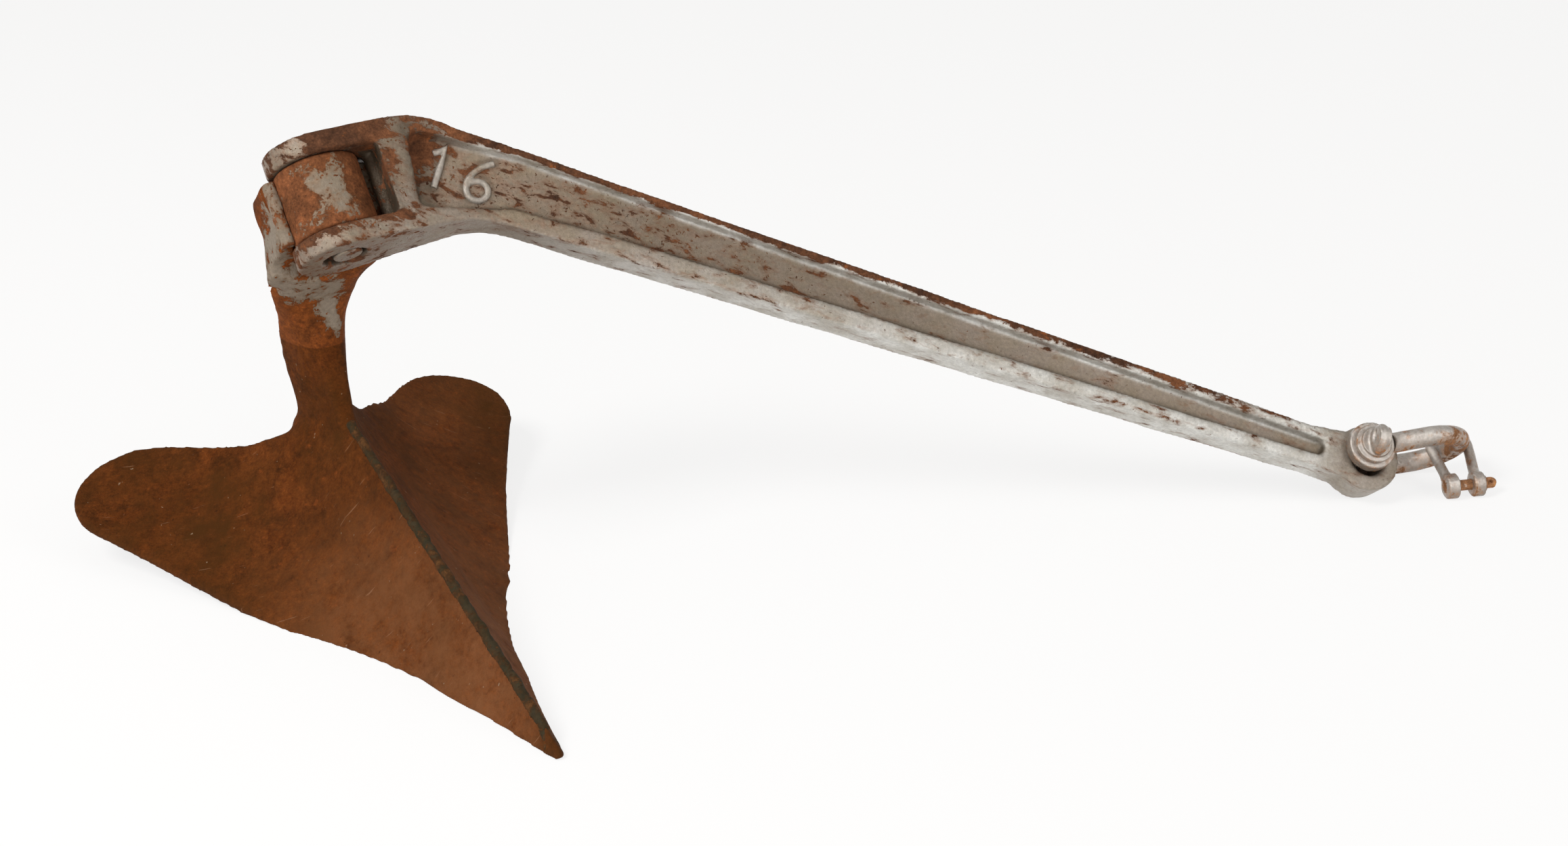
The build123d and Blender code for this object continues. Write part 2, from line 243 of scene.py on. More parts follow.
def new_piece(name, work):
    """An object at the origin from a bmesh, which is used up."""
    mesh = bpy.data.meshes.new(name)
    work.to_mesh(mesh)
    work.free()
    piece = bpy.data.objects.new(name, mesh)
    bpy.context.scene.collection.objects.link(piece)
    return piece


def apply_modifiers(piece):
    """Make the modifiers' result the piece's own mesh."""
    graph = bpy.context.evaluated_depsgraph_get()
    graph.update()
    mesh = bpy.data.meshes.new_from_object(piece.evaluated_get(graph))
    piece.modifiers.clear()
    piece.data = mesh
    return piece


def wrap(piece, square_mm, rounding):
    """Even net over the piece, relaxed to round its edges."""
    net = piece.modifiers.new("net", "REMESH")
    net.mode = "VOXEL"
    net.voxel_size = square_mm * MM
    relax = piece.modifiers.new("relax", "SMOOTH")
    relax.factor = 0.5
    relax.iterations = rounding
    return apply_modifiers(piece)


# %% Read and move the net
def net_of(piece):
    """Points, normals and edges of a piece's mesh as arrays."""
    mesh = piece.data
    points = np.empty(len(mesh.vertices) * 3, np.float32)
    mesh.vertices.foreach_get("co", points)
    normals = np.empty(len(mesh.vertices) * 3, np.float32)
    mesh.vertex_normals.foreach_get("vector", normals)
    edges = np.empty(len(mesh.edges) * 2, np.int32)
    mesh.edges.foreach_get("vertices", edges)
    return points.reshape(-1, 3).astype(float), normals.reshape(-1, 3).astype(float), edges.reshape(-1, 2)


def put_points(piece, points):
    """Move the piece's points to new places."""
    piece.data.vertices.foreach_set("co", points.astype(np.float32).ravel())
    piece.data.update()


def neighbour_mean(values, edges):
    """For each point, the mean of a value over the points it shares an edge with."""
    if values.ndim == 2:
        return np.stack([neighbour_mean(column, edges) for column in values.T], axis=1)
    count = np.bincount(edges.ravel(), minlength=len(values))
    total = np.bincount(edges[:, 0], values[edges[:, 1]], len(values))
    total += np.bincount(edges[:, 1], values[edges[:, 0]], len(values))
    return total / np.maximum(count, 1)


# %% Places on a part
def in_axes(points, axes):
    """World points in a part's own coordinates, in millimetres."""
    inverse = np.array(axes.inverted())
    return (points @ inverse[:3, :3].T + inverse[:3, 3]) / MM


def facing(normals, axes):
    """Each normal's share along a part's own three axes."""
    return (normals @ np.array(axes.to_3x3())).T


def ramp(value, start, end):
    """0 before start, 1 after end."""
    return np.clip((value - start) / (end - start), 0, 1)


# %% Fill, grow and shift
def fill_hollows(piece, rounds, where):
    """Raise points that lie below their neighbours, which turns inner corners into fillets."""
    points, normals, edges = net_of(piece)
    weight = where(points)
    for step in range(rounds):
        if step % 10 == 9:
            put_points(piece, points)
            normals = net_of(piece)[1]
        pull = neighbour_mean(points, edges) - points
        raise_by = np.clip(np.einsum("ij,ij->i", pull, normals), 0, None) * weight
        points += normals * raise_by[:, None] * 0.9
    put_points(piece, points)


def grow(piece, millimetres, where):
    """Move points out along their normals, to win back what relaxing took from the edges."""
    points, normals, _ = net_of(piece)
    points += normals * (millimetres * MM * where(points))[:, None]
    put_points(piece, points)


def shift(piece, axes, move):
    """Move points along a part's own axes, by millimetres that depend on where they are."""
    points, _, _ = net_of(piece)
    points += move(in_axes(points, axes)) @ np.array(axes.to_3x3()).T * MM
    put_points(piece, points)


# %% Dent the skin and keep what the materials read
def store(piece, **masks):
    """Keep one number per point under each name, for the materials to read."""
    for name, values in masks.items():
        attribute = piece.data.attributes.new(name, "FLOAT", "POINT")
        values = np.broadcast_to(values, len(piece.data.vertices))
        attribute.data.foreach_set("value", values.astype(np.float32))


def mark_wear(piece, gain_mm):
    """Store how far each point stands proud of its surroundings, or lies below them."""
    points, normals, edges = net_of(piece)
    smooth_points = points.copy()
    for _ in range(6):
        smooth_points = 0.5 * smooth_points + 0.5 * neighbour_mean(smooth_points, edges)
    proud = np.einsum("ij,ij->i", points - smooth_points, normals) / (gain_mm * MM)
    for _ in range(2):
        proud = 0.5 * proud + 0.5 * neighbour_mean(proud, edges)
    store(piece, proud=np.clip(proud, 0, 1), sunk=np.clip(-proud, 0, 1))


def weather(piece, *dents, gain_mm=0.5):
    """Dent the skin with clouds, each given by name, spacing and depth in mm, and mark its wear."""
    for name, spacing_mm, depth_mm in dents:
        clouds = bpy.data.textures.new(name, "CLOUDS")
        clouds.noise_scale = spacing_mm * MM
        clouds.noise_depth = 2
        dent = piece.modifiers.new(name, "DISPLACE")
        dent.texture = clouds
        dent.texture_coords = "LOCAL"
        dent.strength = depth_mm * MM
        dent.mid_level = 0.5
    apply_modifiers(piece)
    mark_wear(piece, gain_mm)
    piece.data.polygons.foreach_set("use_smooth", [True] * len(piece.data.polygons))
    piece.data.update()
    print(piece.name, "faces:", len(piece.data.polygons))


# %% [markdown]
# ## Shank
# The shank is a forged I-section: two flanges and a thin web, ending in a fork and an eye. The die
# leaves round edges and a fillet between web and flange. Bevels on the CAD edges would round them
# too, but not the inner corners, so the net does both. The bores are not filled, because the pins
# seat there, and a rod that stands parallel to the pin rounds the fork's inner wall.


# %% Shank's outlines
EYE_PLACE = np.array([820.5, 0, 57.0])
RECESS = [(38.2, 65.8), (64, 71), (125, 76), (785, 60.5), (785, 46.8), (210, 38), (130, 34.5),
          (64.9, 11.9)]


def beside_line(x, z, corners):
    """Distance from a line through the corners, in millimetres."""
    nearest = np.full(len(x), np.inf)
    for (x0, z0), (x1, z1) in zip(corners, corners[1:]):
        run, rise = x1 - x0, z1 - z0
        along = np.clip(((x - x0) * run + (z - z0) * rise) / (run ** 2 + rise ** 2), 0, 1)
        nearest = np.minimum(nearest, np.hypot(x - x0 - along * run, z - z0 - along * rise))
    return nearest


def inside_outline(x, z, corners):
    """Distance inside a closed outline, in millimetres, negative outside."""
    closed, crossings = corners + corners[:1], np.zeros(len(x), int)
    for (x0, z0), (x1, z1) in zip(closed, closed[1:]):
        crossings += ((z0 > z) != (z1 > z)) & (x < (x1 - x0) * (z - z0) / ((z1 - z0) or 1e-9) + x0)
    return np.where(crossings % 2 == 1, 1, -1) * beside_line(x, z, closed)


middle = inside_outline(np.array([300.0]), np.array([55.0]), RECESS)[0]
print("the middle of the web is", round(middle, 1), "mm inside the recess")

# %% Shank's shape
# The rod's distance from the pin, half its length and its radius.
CROTCH_BACK, CROTCH_HALF, CROTCH_ROUND = 42.5 * MM, 33 * MM, 6.6 * MM


def off_the_bores(points):
    """0 in the pin's bore and the eye, which stay open, 1 elsewhere."""
    fork, eyewards = in_axes(points, fork_axes), in_axes(points, shank_axes) - EYE_PLACE
    off_the_pin = ramp(np.hypot(fork[:, 0], fork[:, 1]), 18, 20)
    return off_the_pin * ramp(np.hypot(eyewards[:, 0], eyewards[:, 2]), 16, 18)


def die_fillets(points):
    """1 at the fork, where the die leaves wide fillets, and a fifth of that along the beam."""
    return off_the_bores(points) * (1 - 0.8 * ramp(in_axes(points, shank_axes)[:, 0], 90, 150))


work = merged_copy(["shank"])
bmesh.ops.create_cone(work, cap_ends=True, segments=48, radius1=CROTCH_ROUND,
                      radius2=CROTCH_ROUND, depth=2 * CROTCH_HALF,
                      matrix=fork_axes @ Matrix.Translation((CROTCH_BACK, 0, 0)))
shank = wrap(new_piece("shank_forging", work), 1.75, 5)
fill_hollows(shank, 26, die_fillets)
grow(shank, 0.7, lambda points: ramp(in_axes(points, shank_axes)[:, 0], 70, 130))
weather(shank, ("die_marks", 45, 1.0), ("scale_pits", 8, 0.5))
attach(shank, "shank_body")
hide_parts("shank")

# %% [markdown]
# ## Where the shank has lost its paint
# Paint goes first from edges and corners that knock on a deck, and stays in the web. A noise pattern
# alone would spread the rust evenly, and a painted mask would be an image. Here each zone is a soft
# mask worked out from the shank's frame and outlines, and three sums of those masks say how bare,
# how silver and how dark each point is. Silver includes a painted highlight on faces turned to the
# shank's front and on the lip above the web. Dark holds dirt and also painted shade in corners and gaps.


# %% Soft masks
def band(value, middle, width):
    """1 where a value is at the middle, falling to 0 about a width away."""
    return np.exp(-((value - middle) / width) ** 2)


def spot(local, centre, reach):
    """1 at the centre, falling to 0 about a reach away. Reach may differ per axis."""
    away = (local - np.array(centre)) / np.array(reach)
    return np.exp(-np.sum(away ** 2, axis=1))


def spots(local, marks):
    """Sum of soft spots, each given by its strength, centre and reach."""
    return sum(strength * spot(local, centre, reach) for strength, centre, reach in marks)


# %% Zones of the shank
points, normals, _ = net_of(shank)
local, at_fork = in_axes(points, shank_axes), in_axes(points, fork_axes)
x, y, z = local.T
along_fork, across_fork, up_pin = at_fork.T
_, side, rise = facing(normals, shank_axes)
depth = inside_outline(x, z, RECESS)
web = ramp(depth, 0.5, 4) * ramp(-np.abs(y), -11, -8)
upper = ramp(z - EYE_PLACE[2], -2, 2)
rim = ramp(-depth, -1, 1.5) * ramp(np.abs(side), 0.5, 0.8) * ramp(x, 40, 75)
round_end = ramp(-along_fork, -62, -48)
ear_up = ramp(up_pin, 26, 29) * round_end
ear_low = ramp(-up_pin, 26, 29) * round_end
print("share of the points on the web:", round(float(web.mean()), 2))

# %% How bare the shank is
BARE_BY_FORK = [(1.1, (48, -7, 56), (13, 10, 18)), (0.5, (38, -8, 74), (18, 24, 14)),
                (0.35, (32, -8, 48), (10, 24, 20))]
BARE_IN_FORK = [(0.5, (48, -22, 6), (9, 14, 12)), (0.35, (52, -22, -14), (10, 14, 10))]

# Most along the upper flange's outer edge and on the ears, least by the eye.
outer = ramp(82 - 14 * ramp(x, 100, 795) - z, 6, 2.5)
bare = 0.10 + 0.08 * ramp(-x, -420, -150)
bare += rim * upper * (0.45 + 0.55 * outer) * (1.2 - 0.5 * ramp(x, 230, 480))
bare += rim * (1 - upper) * 0.04
bare += 0.8 * ramp(rise, 0.6, 0.9) * upper * (1 - 0.75 * ramp(x, 300, 600))
bare += web * (0.24 - 0.22 * ramp(x, 250, 480))
bare += ear_up * (0.22 + 0.75 * ramp(along_fork, -14, 4))
bare += ear_low * (0.2 + 0.4 * ramp(up_pin, -37, -33))
bare += spots(local, BARE_BY_FORK) + spots(at_fork, BARE_IN_FORK)
bare -= 0.5 * ramp(-rise, 0.6, 0.9) * upper * web
bare *= 1 - 0.85 * ramp(x, 640, 790)
store(shank, rust_bias=np.clip(bare, 0, 1.5))
print("mean bareness", round(float(bare.mean()), 2))

# %% How silver the shank is
# Most towards the eye, little in the web. Faces turned to the shank's front, the underside and the
# lip above the web, are painted lighter as a painted highlight.
silver = ramp(x, 140, 520) * (1 - 0.9 * web) + 0.5 * ramp(-rise, 0.5, 0.9) * ramp(x, 90, 160)
silver *= 1 - 0.75 * ramp(x, 770, 800)
silver += 0.1 * (ear_low + ear_up) + 0.15 * ramp(x, 30, 60) * ramp(-x, -150, -60) * (1 - web)
# Painted highlight along the recess's upper edge, the lip above the web.
silver += band(depth, 0.5, 2.2) * upper * ramp(x, 70, 100)
silver *= 1 - 0.15 * (1 - upper)
store(shank, pale=np.clip(silver, 0, 1))
print("mean silver", round(float(silver.mean()), 2))

# %% Weight figures' strokes and the shank's dirt and painted shade
FIGURE_STROKES = [
    [(62, 60), (66, 63), (70, 68.5), (70, 51), (70, 34.5)],
    [(107, 68), (98, 62.5), (92, 53), (91.5, 43), (96, 36), (103, 35), (109, 40), (109.5, 46),
     (105, 51.5), (98, 51.5), (93, 47)]]
# Painted shade at the recess's left end, by the fork.
SHADE_BY_FORK = [(0.9, (50, -6, 45), (11, 6, 30)), (0.45, (36, -8, 66), (14, 24, 18))]

# Darker where this is high. Painted shade along the web's foot under the lower flange, on the fork's
# inner wall by the barrel, at the recess's left end and in the gap round the pin. Darker also round
# the figures and along the middle of the web.
shade_and_dirt = ramp(depth, -0.5, 1) * band(depth, 1.5, 2.4) * (1 - upper) * ramp(-np.abs(y), -14, -10)
shade_and_dirt += 0.85 * ramp(-np.abs(up_pin), -31, -27) * ramp(along_fork, 10, 20) * ramp(-along_fork, -50, -44)
shade_and_dirt += 0.5 * band(depth, -2, 4.0) * ramp(-x, -68, -58)
shade_and_dirt += spots(local, SHADE_BY_FORK)
for stroke in FIGURE_STROKES:
    shade_and_dirt += 0.6 * band(beside_line(x, z, stroke), 2.6, 1.6) * ramp(-y, 2, 4) * web
shade_and_dirt += ramp(-np.hypot(along_fork, across_fork), -17.6, -16.6) * ramp(-up_pin, 20, 24)
shade_and_dirt += 0.3 * web * ramp(x, 130, 230) * ramp(-x, -600, -420)
store(shank, grime=np.clip(shade_and_dirt, 0, 1))
print("mean dirt", round(float(shade_and_dirt.mean()), 2))

# %% [markdown]
# ## Weight figures
# The raised figures give the anchor's weight in kilograms, in a plain cast numeral. A text object
# would bring a typeface with flat faces and sharp edges. A pattern maker carves such figures from
# half-round strokes, so each one is drawn as a thick curve that lies half sunk in the web, and is
# then wrapped and dented like the forging it belongs to.

# %% Weight figures on the web
STROKE_RADIUS = 2.7 * MM
WEB_FACE = -4.6           # millimetres to the side of the shank's middle plane
BASELINE_SLOPE = 0.02
FIGURES_START = FIGURE_STROKES[0][0][0]

strokes = bpy.data.curves.new("strokes", "CURVE")
strokes.dimensions = "3D"
strokes.bevel_depth = STROKE_RADIUS
strokes.bevel_resolution = 4
strokes.use_fill_caps = True
for corners in FIGURE_STROKES:
    is_round = len(corners) > 6
    stroke = strokes.splines.new("NURBS" if is_round else "POLY")
    stroke.points.add(len(corners) - 1)
    for point, (x, z) in zip(stroke.points, corners):
        place = Vector((x, WEB_FACE, z - BASELINE_SLOPE * (x - FIGURES_START)))
        point.co = (shank_axes @ (place * MM)).to_4d()
    stroke.use_endpoint_u = True
    stroke.order_u = 4
drawn = bpy.data.objects.new("strokes", strokes)
bpy.context.scene.collection.objects.link(drawn)
graph = bpy.context.evaluated_depsgraph_get()
graph.update()
work = bmesh.new()
work.from_mesh(bpy.data.meshes.new_from_object(drawn.evaluated_get(graph)))
bpy.data.objects.remove(drawn)
figures = wrap(new_piece("weight_figures", work), 0.6, 5)
weather(figures, ("figure_lumps", 5, 0.7))
store(figures, rust_bias=0.08, pale=0.35)
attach(figures, "shank_body")

# %% [markdown]
# ## Hinge pin and barrel
# A steel pin goes through the fork's ears, and the barrel turns on it. Both are round, painted with
# the rest and knocked since. They could stay the CAD's clean cylinders, but the light would then run
# over them in one straight stripe. The net gives the pin's end a worn edge with a gap beside it, made
# darker with painted shade, and the barrel a dented skin that keeps one broad patch of paint.


# %% Hinge pin
def slim_end(local):
    """Inward and sideways shift of the pin's worn lower end, which leaves a gap on one side."""
    x, y, z = local.T
    worn = ramp(-z, 33, 37)
    return np.stack([worn * (2.9 - 0.31 * x), worn * (1.8 - 0.31 * y), -0.8 * worn], axis=1)


hinge_pin = wrap(new_piece("hinge_pin_bar", merged_copy(["hinge_pin"])), 1.2, 4)
shift(hinge_pin, fork_axes, slim_end)
weather(hinge_pin, ("pin_dents", 9, 0.6))
points, normals, _ = net_of(hinge_pin)
end = ramp(-in_axes(points, fork_axes)[:, 2], 34, 37)
side = 1 - np.abs(facing(normals, fork_axes)[2])
# Painted shade on the sides of the pin's end, in the gap beside it.
store(hinge_pin, rust_bias=0.42 - 0.1 * end, pale=0.1 + 0.15 * end,
      grime=ramp(side, 0.5, 0.8) * ramp(end, 0, 0.2))
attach(hinge_pin, "shank_body")
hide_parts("hinge_pin")

# %% Barrel
PAINT_LEFT_ON_BARREL = [(0.62, (-31, 1, -3), (30, 17, 23)), (0.25, (-24, -16, 16), (14, 9, 9))]

barrel = wrap(new_piece("hinge_barrel", merged_copy(["barrel"])), 1.2, 12)
weather(barrel, ("barrel_dents", 22, 0.8), ("barrel_pits", 5, 0.35))
local = in_axes(net_of(barrel)[0], hinge_axes)
store(barrel, rust_bias=0.95 - spots(local, PAINT_LEFT_ON_BARREL) + 0.4 * ramp(local[:, 1], 8, 16))
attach(barrel, "plough")
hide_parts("barrel")

# %% [markdown]
# ## Horn and shares
# The horn and the two shares were welded and ground into one flowing shape. Three pieces wrapped one
# by one would meet in a hard line. They are wrapped together instead, so that the flank of the horn
# runs into the share without an edge, and then parted again by two cutting planes, because they are
# three pieces of steel.


# %% Relax marked points
def both_sides(local):
    """The same coordinates with y made positive, so that one mark counts left and right."""
    return np.abs(local) * (0, 1, 0) + local * (1, 0, 1)


def everywhere(points):
    """1 for every point."""
    return np.ones(len(points))


def relax_where(piece, rounds, where):
    """Relax only the marked points, which melts steps between joined solids."""
    points, _, edges = net_of(piece)
    weight = where(points)[:, None] * 0.5
    for _ in range(rounds):
        points += (neighbour_mean(points, edges) - points) * weight
    put_points(piece, points)


# %% Where the plough is filled and relaxed
def clear_of_barrel(points):
    """0 next to the barrel and the lower ear, where the yoke keeps its fit, 1 elsewhere."""
    at_hinge = in_axes(points, hinge_axes)
    aside_of_pin = ramp(np.hypot(at_hinge[:, 0], at_hinge[:, 1]), 38.5, 42)
    return np.clip(aside_of_pin + ramp(-at_hinge[:, 2], 46, 49), 0, 1)


def foot_and_yoke(points):
    """1 around the horn's foot and on the yoke's outside, where the fillets are widest."""
    local = in_axes(points, plough_axes)
    both = spots(local, [(1, (380, 0, 112), (75, 65, 60)), (1, (365, 0, 225), (90, 90, 50))])
    return np.clip(1.06 * both - 0.06, 0, 1) * clear_of_barrel(points)


def steps(points):
    """1 where solids meet in a step: at the horn's seat, at the toe and at the yoke's lugs."""
    local, at_hinge = in_axes(points, plough_axes), in_axes(points, hinge_axes)
    seat_and_toe = spots(local, [(0.8, (402, 0, 98), (28, 70, 22)), (0.3, (4, 0, 8), (12, 12, 12))])
    seat_corners = spot(both_sides(local), (400, 34, 108), (24, 20, 20))
    lugs = spot(both_sides(at_hinge), (26, 43, 27), (20, 12, 14))
    neck = spot(local, (375, 0, 208), (60, 60, 36))
    return clear_of_barrel(points) * np.clip(seat_and_toe + seat_corners + lugs + neck, 0, 1)


# %% How the plough swells from its plain wedges
NEAR_FLANK = ([96, 106, 160, 195, 205, 214, 224, 236, 262, 290],    # height above the toe
              [0, 4, 6.5, 8.5, 10.5, 13.5, 14.5, 8, 3, 0])          # how far the flank stands out
FAR_FLANK = ([96, 106, 195, 222, 236, 262, 290], [0, 4, 5, 5, 4, 3, 0])


def swell(local):
    """The shares climb to the horn, whose back is broader and front slimmer than a plain wedge.

    A notch in the right share's edge is pushed out again.
    """
    x, y, z = local.T
    climb = spot(both_sides(local), (398, 58, 90), (34, 44, 20)) * ramp(-z, -122, -102)
    climb *= np.where(y > 0, 1, 1.35)
    saddle = spot(local, (438, -56, 80), (26, 32, 22))
    yoke = ramp(z, 226, 240)
    lean = x + np.interp(z, [110, 226], [0, 34])
    rear = (1 - yoke) * ramp(lean, 372, 398) * ramp(np.abs(y), 2, 12)
    rear += yoke * ramp(np.abs(y), 20, 40)
    flank = np.where(y > 0, np.interp(z, *NEAR_FLANK), -np.interp(z, *FAR_FLANK)) * rear
    front = ramp(-x, -374, -358) * band(z, 210, 15)
    notch = spot(local, (256, -80, 0), (9, 9, 9))
    return np.stack([7 * climb + 5 * front, flank - 3 * notch, 11 * climb + 7 * saddle], axis=1)


def trim_yoke(local):
    """Waist below the lug at the yoke's upper corner."""
    x, y, z = local.T
    waist = ramp(np.abs(y), 30, 41) * band(z, -4, 15) * ramp(x, 0, 8)
    waist += 0.9 * ramp(np.abs(y), 28, 41) * ramp(-z, 14, 38) * ramp(x, 0, 8)
    return np.stack([0 * x, -4.5 * waist * np.sign(y), 0 * x], axis=1)


# %% Plough's shape
SEAT_PLACE = Vector((400, 0, 91)) * MM
SEAT_HALF_SIZE = (25 * MM, 27 * MM, 15 * MM, 1)

work = merged_copy(["horn", "right_share", "left_share"])
# A lump where the horn stands on the shares.
lump = plough_axes @ Matrix.Translation(SEAT_PLACE) @ Matrix.Diagonal(SEAT_HALF_SIZE)
bmesh.ops.create_icosphere(work, subdivisions=4, radius=1.0, matrix=lump)
whole = wrap(new_piece("plough_whole", work), 1.7, 10)
shift(whole, plough_axes, swell)
shift(whole, hinge_axes, trim_yoke)
relax_where(whole, 40, steps)
fill_hollows(whole, 220, foot_and_yoke)
relax_where(whole, 45, steps)
relax_where(whole, 5, everywhere)
weather(whole, ("hammer_marks", 60, 1.4), ("rust_pits", 8, 0.55))

# %% Where the plough keeps paint, is rubbed or stays damp
BARE_BELOW = 177    # height above the toe, in millimetres, under which no paint is left
PAINT_BY_HINGE = [(0.95, (8, -43, -8), (34, 9, 22)), (0.9, (44, -36, -36), (30, 20, 22)),
                  (1.0, (80, 4, -60), (16, 11, 20)), (0.8, (56, -4, -46), (28, 18, 9))]
DAMP_PLACES = [(0.9, (395, 85, 60), (60, 40, 40)), (0.8, (425, -70, 85), (30, 30, 30)),
               (0.8, (372, 0, 100), (40, 60, 40)), (2, (4, 0, 8), (18, 14, 18))]

at_toe = in_axes(net_of(whole)[0], plough_axes)
at_hinge = in_axes(net_of(whole)[0], hinge_axes)
x, y, z = at_toe.T
bare = 1.35 - spots(at_hinge, PAINT_BY_HINGE) - 0.75 * spot(at_toe, (366, -5, 188), (14, 8, 10))
bare = np.where(z < BARE_BELOW, 1.35, bare - 0.3 * ramp(z, 196, 226))
worn = ramp(-x, -330, -90) * ramp(-np.abs(y), -130, -30)
worn += 0.7 * spot(at_toe, (220, 60, 20), (100, 60, 60))
worn += 0.38 * ramp(-y, 10, 40) * ramp(-z, -90, -50)
worn *= (1 - spot(at_toe, (4, 0, 8), (26, 16, 20))) * ramp(-z, -110, -70)
damp = 0.7 * ramp(y, 60, 170) + 0.6 * ramp(-y, 100, 170) + spots(at_toe, DAMP_PLACES)
store(whole, rust_bias=np.clip(bare, 0, 1.5), worn=np.clip(worn, 0, 1), damp=np.clip(damp, 0, 1))
print("mean wear", round(float(worn.mean()), 2), "mean damp", round(float(damp.mean()), 2))

# %% Part the horn and the shares
CUT_HEIGHT = 172 * MM


def part_of(whole, name, cuts):
    """The part of a closed mesh on the inner side of each cutting plane, closed again."""
    work = bmesh.new()
    work.from_mesh(whole.data)
    for place, outwards in cuts:
        geometry = work.verts[:] + work.edges[:] + work.faces[:]
        cut = bmesh.ops.bisect_plane(work, geom=geometry, dist=1e-7, plane_co=place,
                                     plane_no=outwards, clear_outer=True)
        rim = [g for g in cut["geom_cut"] if isinstance(g, bmesh.types.BMEdge)]
        for face in bmesh.ops.holes_fill(work, edges=rim)["faces"]:
            face.smooth = False
            for edge in face.edges:
                edge.smooth = False
    return new_piece(name, work)


above = toe + UP * CUT_HEIGHT
horn = part_of(whole, "horn_forging", [(above, -UP)])
right_share = part_of(whole, "right_share_plate", [(above, UP), (toe, left)])
left_share = part_of(whole, "left_share_plate", [(above, UP), (toe, -left)])
bpy.data.objects.remove(whole)
for piece, node, slot_name in ((horn, "horn", "horn_rust"), (right_share, "right_share", "share_rust"),
                               (left_share, "left_share", "share_rust")):
    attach(piece, "plough")
    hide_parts(node)
    print(piece.name, len(piece.data.polygons))

# %% [markdown]
# ## Weld beads
# A hand welder leaves a row of lumps whose width wanders, and the bead along the ridge runs out
# before the toe. A bevelled curve would give a bead of one width. The CAD's beads have the right
# path and size, so they are wrapped in a fine net, slimmed here and there and then dented.

# %% Weld beads
BEADS = (
    # piece, node, slot, slimming in mm, bareness, spacing and depth of the lumps in mm
    ("ridge_bead", "ridge_weld", "seam_rust", 1.6, 0.5, 11, 2.6),
    ("barrel_bead_right", "barrel_weld_right", "weld_metal", 0.3, 0.5, 6, 1.7),
    ("barrel_bead_left", "barrel_weld_left", "weld_metal", 0.3, 0.42, 6, 1.7))


def wander(points):
    """How much a bead narrows from place to place, and most just before the toe."""
    x, _, z = in_axes(points, plough_axes).T
    beat = np.sin(x / 9.1 + z / 6.3) * np.sin(x / 23.7) + 0.6 * np.sin(x / 5.3 + 1.7)
    low_ridge = ramp(-x, -160, -20) * ramp(-z, -150, -60)
    return 0.8 + 0.35 * beat + 0.5 * low_ridge + 1.2 * ramp(-x, -18, -6)


def tuck_in(local):
    """The ridge's bead runs out before the point of the toe."""
    near_toe = ramp(-local[:, 0], -28, 0)
    return np.stack([15 * near_toe, 0 * near_toe, -5 * near_toe], axis=1)


for name, node, slot_name, slimmer, bareness, lump_mm, lump_depth in BEADS:
    bead = wrap(new_piece(name, merged_copy([node])), 1.0, 3)
    grow(bead, -slimmer, wander)
    shift(bead, plough_axes, tuck_in)
    weather(bead, (name + "_lumps", lump_mm, lump_depth))
    store(bead, rust_bias=bareness)
    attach(bead, "plough")
    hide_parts(node)

# %% [markdown]
# ## Shackles
# Two galvanised shackles hang at the eye. The big one's screw pin ends in a flattened tab with a
# slot for the spike that turns it, and the small one's ears are thick discs. They are small in the
# frame, so plain rods would nearly do, but zinc shows every curve by its shine. A fine net keeps
# the bars round, and the tab is a flattened ball with its slot pressed into both faces.

# %% Tab of the screw pin
PIN_OUT = np.array(joints["shackle_screw_turn"]["axis"])
TAB_LENGTH, TAB_MIDDLE = 8 * MM, 13.5 * MM    # from the pin's end


def tab_frame():
    """Axes of the screw pin's tab: across it, along the pin, and through its thickness."""
    work = merged_copy(["shackle_pin"])
    points = np.array([v.co[:] for v in work.verts])
    work.free()
    along = points @ PIN_OUT
    top = points[along > along.max() - TAB_LENGTH]
    middle = top.mean(axis=0)
    flat = top - middle
    flat -= np.outer(flat @ PIN_OUT, PIN_OUT)
    across = np.linalg.svd(flat, full_matrices=False)[2][0]
    centre = middle + PIN_OUT * (along.max() - TAB_MIDDLE - middle @ PIN_OUT)
    return axes_at(Vector(centre), Vector(across), Vector(PIN_OUT), Vector(np.cross(across, PIN_OUT)))


def in_slot(x, y, half_length, half_width):
    """1 inside the slot of the tab's eye, with a quick fall at its edge."""
    return np.exp(-(((x - 1) / half_length) ** 2 + ((y - 3.5) / half_width) ** 2) ** 2)


def press_slot(local):
    """Both faces of the tab sink in at its slot."""
    x, y, z = local.T
    return np.stack([0 * x, 0 * y, -3.6 * in_slot(x, y, 4.2, 2.3) * np.sign(z)], axis=1)


tab_axes = tab_frame()
print("tab at", [round(c, 4) for c in tab_axes.translation])

# %% Shape of a shackle's bow or pin
EAR_FACE = np.array((0.5210, 0.0600, 0.0093))    # outer face of the small ear nearest the hinge
EARS = (EAR_FACE + (0.0035, 0.0003, 0), EAR_FACE + (0.0238, 0.0025, 0))
EAR_RADIUS = 9 * MM
TAB_HALF_SIZE = (12 * MM, 14 * MM, 6.5 * MM, 1)


def build_fitting(name, node, square_mm, rounds, swelling_mm):
    """One bar of a shackle, with its tab or its thick ears where the real one has them."""
    work = merged_copy([node])
    if node == "shackle_pin":
        bmesh.ops.create_icosphere(work, subdivisions=4, radius=1.0,
                                   matrix=tab_axes @ Matrix.Diagonal(TAB_HALF_SIZE))
    piece = wrap(new_piece(name, work), square_mm, rounds)
    if node == "shackle_pin":
        shift(piece, tab_axes, press_slot)
    fill_hollows(piece, 10, everywhere)
    grow(piece, swelling_mm, everywhere)
    if node == "small_shackle_bow":
        for ear in EARS:
            grow(piece, 1.3, lambda points: np.exp(-np.sum(((points - ear) / EAR_RADIUS) ** 4, axis=1)))
    weather(piece, (name + "_dents", 14, 0.5), gain_mm=0.3)
    return piece


